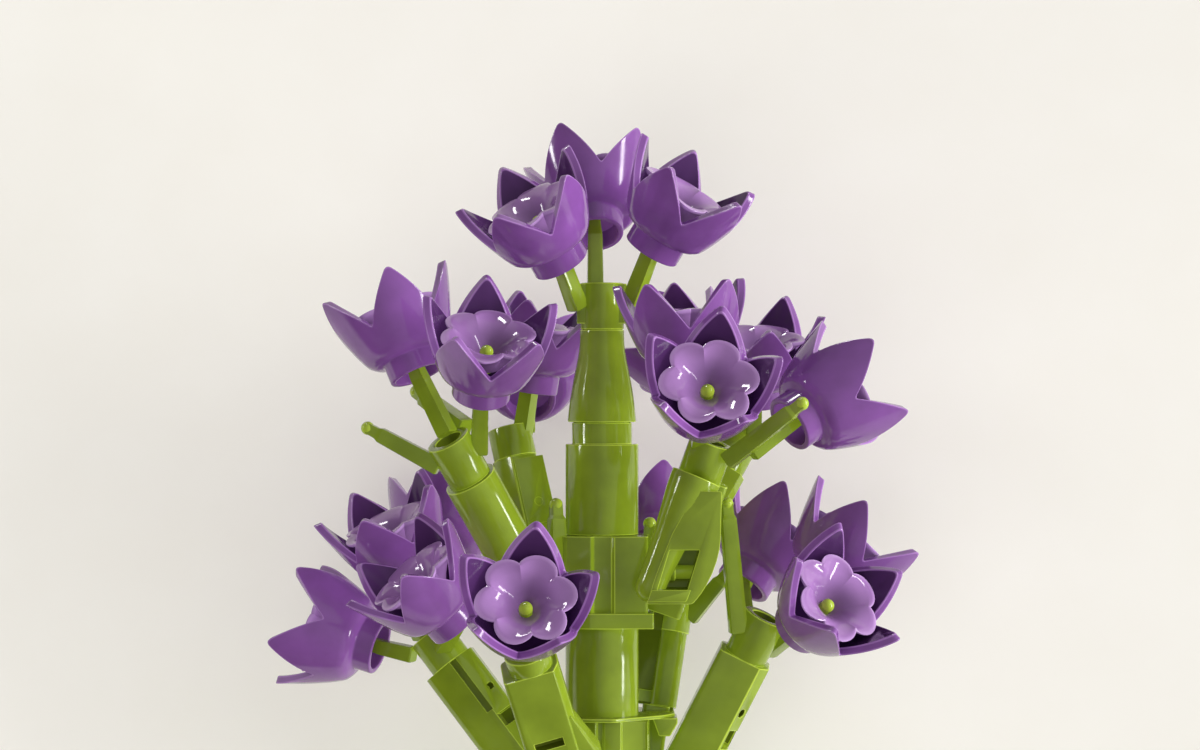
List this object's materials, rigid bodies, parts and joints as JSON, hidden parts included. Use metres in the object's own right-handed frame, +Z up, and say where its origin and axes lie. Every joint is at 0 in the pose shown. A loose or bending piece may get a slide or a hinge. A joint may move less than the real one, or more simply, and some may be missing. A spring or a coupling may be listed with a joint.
{
  "type": "plastic hyacinth flower on a stem",
  "caption": "Hyacinth flower head of plug-together plastic pieces: purple pointed cups with paler inner flowers on green prongs, above a long stem with a leaf. It lies on its back.",
  "frame": {"origin": "centre of the bounding box's bottom face, on the surface that the flower lies on", "axes": "+Y along the stem towards the flower head, +Z up from the surface, +X to the viewer's right when the flower is seen from above with its head at the top"},
  "size_m": [0.1502, 0.4591, 0.1069],
  "materials": {
    "cup_plastic": "moulded purple plastic, polished gloss, fine lit edges",
    "inner_flower_plastic": "moulded lighter purple plastic, polished gloss",
    "green_plastic": "moulded lime green plastic, polished gloss",
    "stem_plastic": "moulded lime green plastic, gloss with a few handling marks",
    "leaf_plastic": "moulded lime green plastic, gloss"
  },
  "bodies": {
    "root": {"branch_back_left": "green_plastic", "branch_back_right": "green_plastic", "branch_lower_left": "green_plastic", "branch_lower_middle": "green_plastic", "branch_lower_right": "green_plastic", "branch_middle_left": "green_plastic", "branch_right_back": "green_plastic", "branch_right_front": "green_plastic", "cup_back_left_out": "cup_plastic", "cup_back_left_up": "cup_plastic", "cup_back_right_out": "cup_plastic", "cup_lower_left_back": "cup_plastic", "cup_lower_left_front": "cup_plastic", "cup_lower_left_out": "cup_plastic", "cup_lower_left_up": "cup_plastic", "cup_lower_middle_front": "cup_plastic", "cup_lower_right_back": "cup_plastic", "cup_lower_right_front": "cup_plastic", "cup_lower_right_up": "cup_plastic", "cup_middle_left_front": "cup_plastic", "cup_middle_left_out": "cup_plastic", "cup_right_back_in": "cup_plastic", "cup_right_back_up": "cup_plastic", "cup_right_front": "cup_plastic", "cup_right_out": "cup_plastic", "cup_right_up": "cup_plastic", "cup_top_back": "cup_plastic", "cup_top_left": "cup_plastic", "cup_top_right": "cup_plastic", "hub": "green_plastic", "inner_back_left_out": "inner_flower_plastic", "inner_back_left_up": "inner_flower_plastic", "inner_back_right_out": "inner_flower_plastic", "inner_lower_left_back": "inner_flower_plastic", "inner_lower_left_front": "inner_flower_plastic", "inner_lower_left_out": "inner_flower_plastic", "inner_lower_left_up": "inner_flower_plastic", "inner_lower_middle_front": "inner_flower_plastic", "inner_lower_right_back": "inner_flower_plastic", "inner_lower_right_front": "inner_flower_plastic", "inner_lower_right_up": "inner_flower_plastic", "inner_middle_left_front": "inner_flower_plastic", "inner_middle_left_out": "inner_flower_plastic", "inner_right_back_in": "inner_flower_plastic", "inner_right_back_up": "inner_flower_plastic", "inner_right_front": "inner_flower_plastic", "inner_right_out": "inner_flower_plastic", "inner_right_up": "inner_flower_plastic", "inner_top_back": "inner_flower_plastic", "inner_top_left": "inner_flower_plastic", "inner_top_right": "inner_flower_plastic", "knob": "green_plastic", "leaf": "leaf_plastic", "low_hub": "green_plastic", "lower_barrel": "green_plastic", "stem_lower": "stem_plastic", "stem_upper": "stem_plastic", "top_cone": "green_plastic", "top_prongs": "green_plastic", "upper_barrel": "green_plastic"}
  },
  "joints": []
}
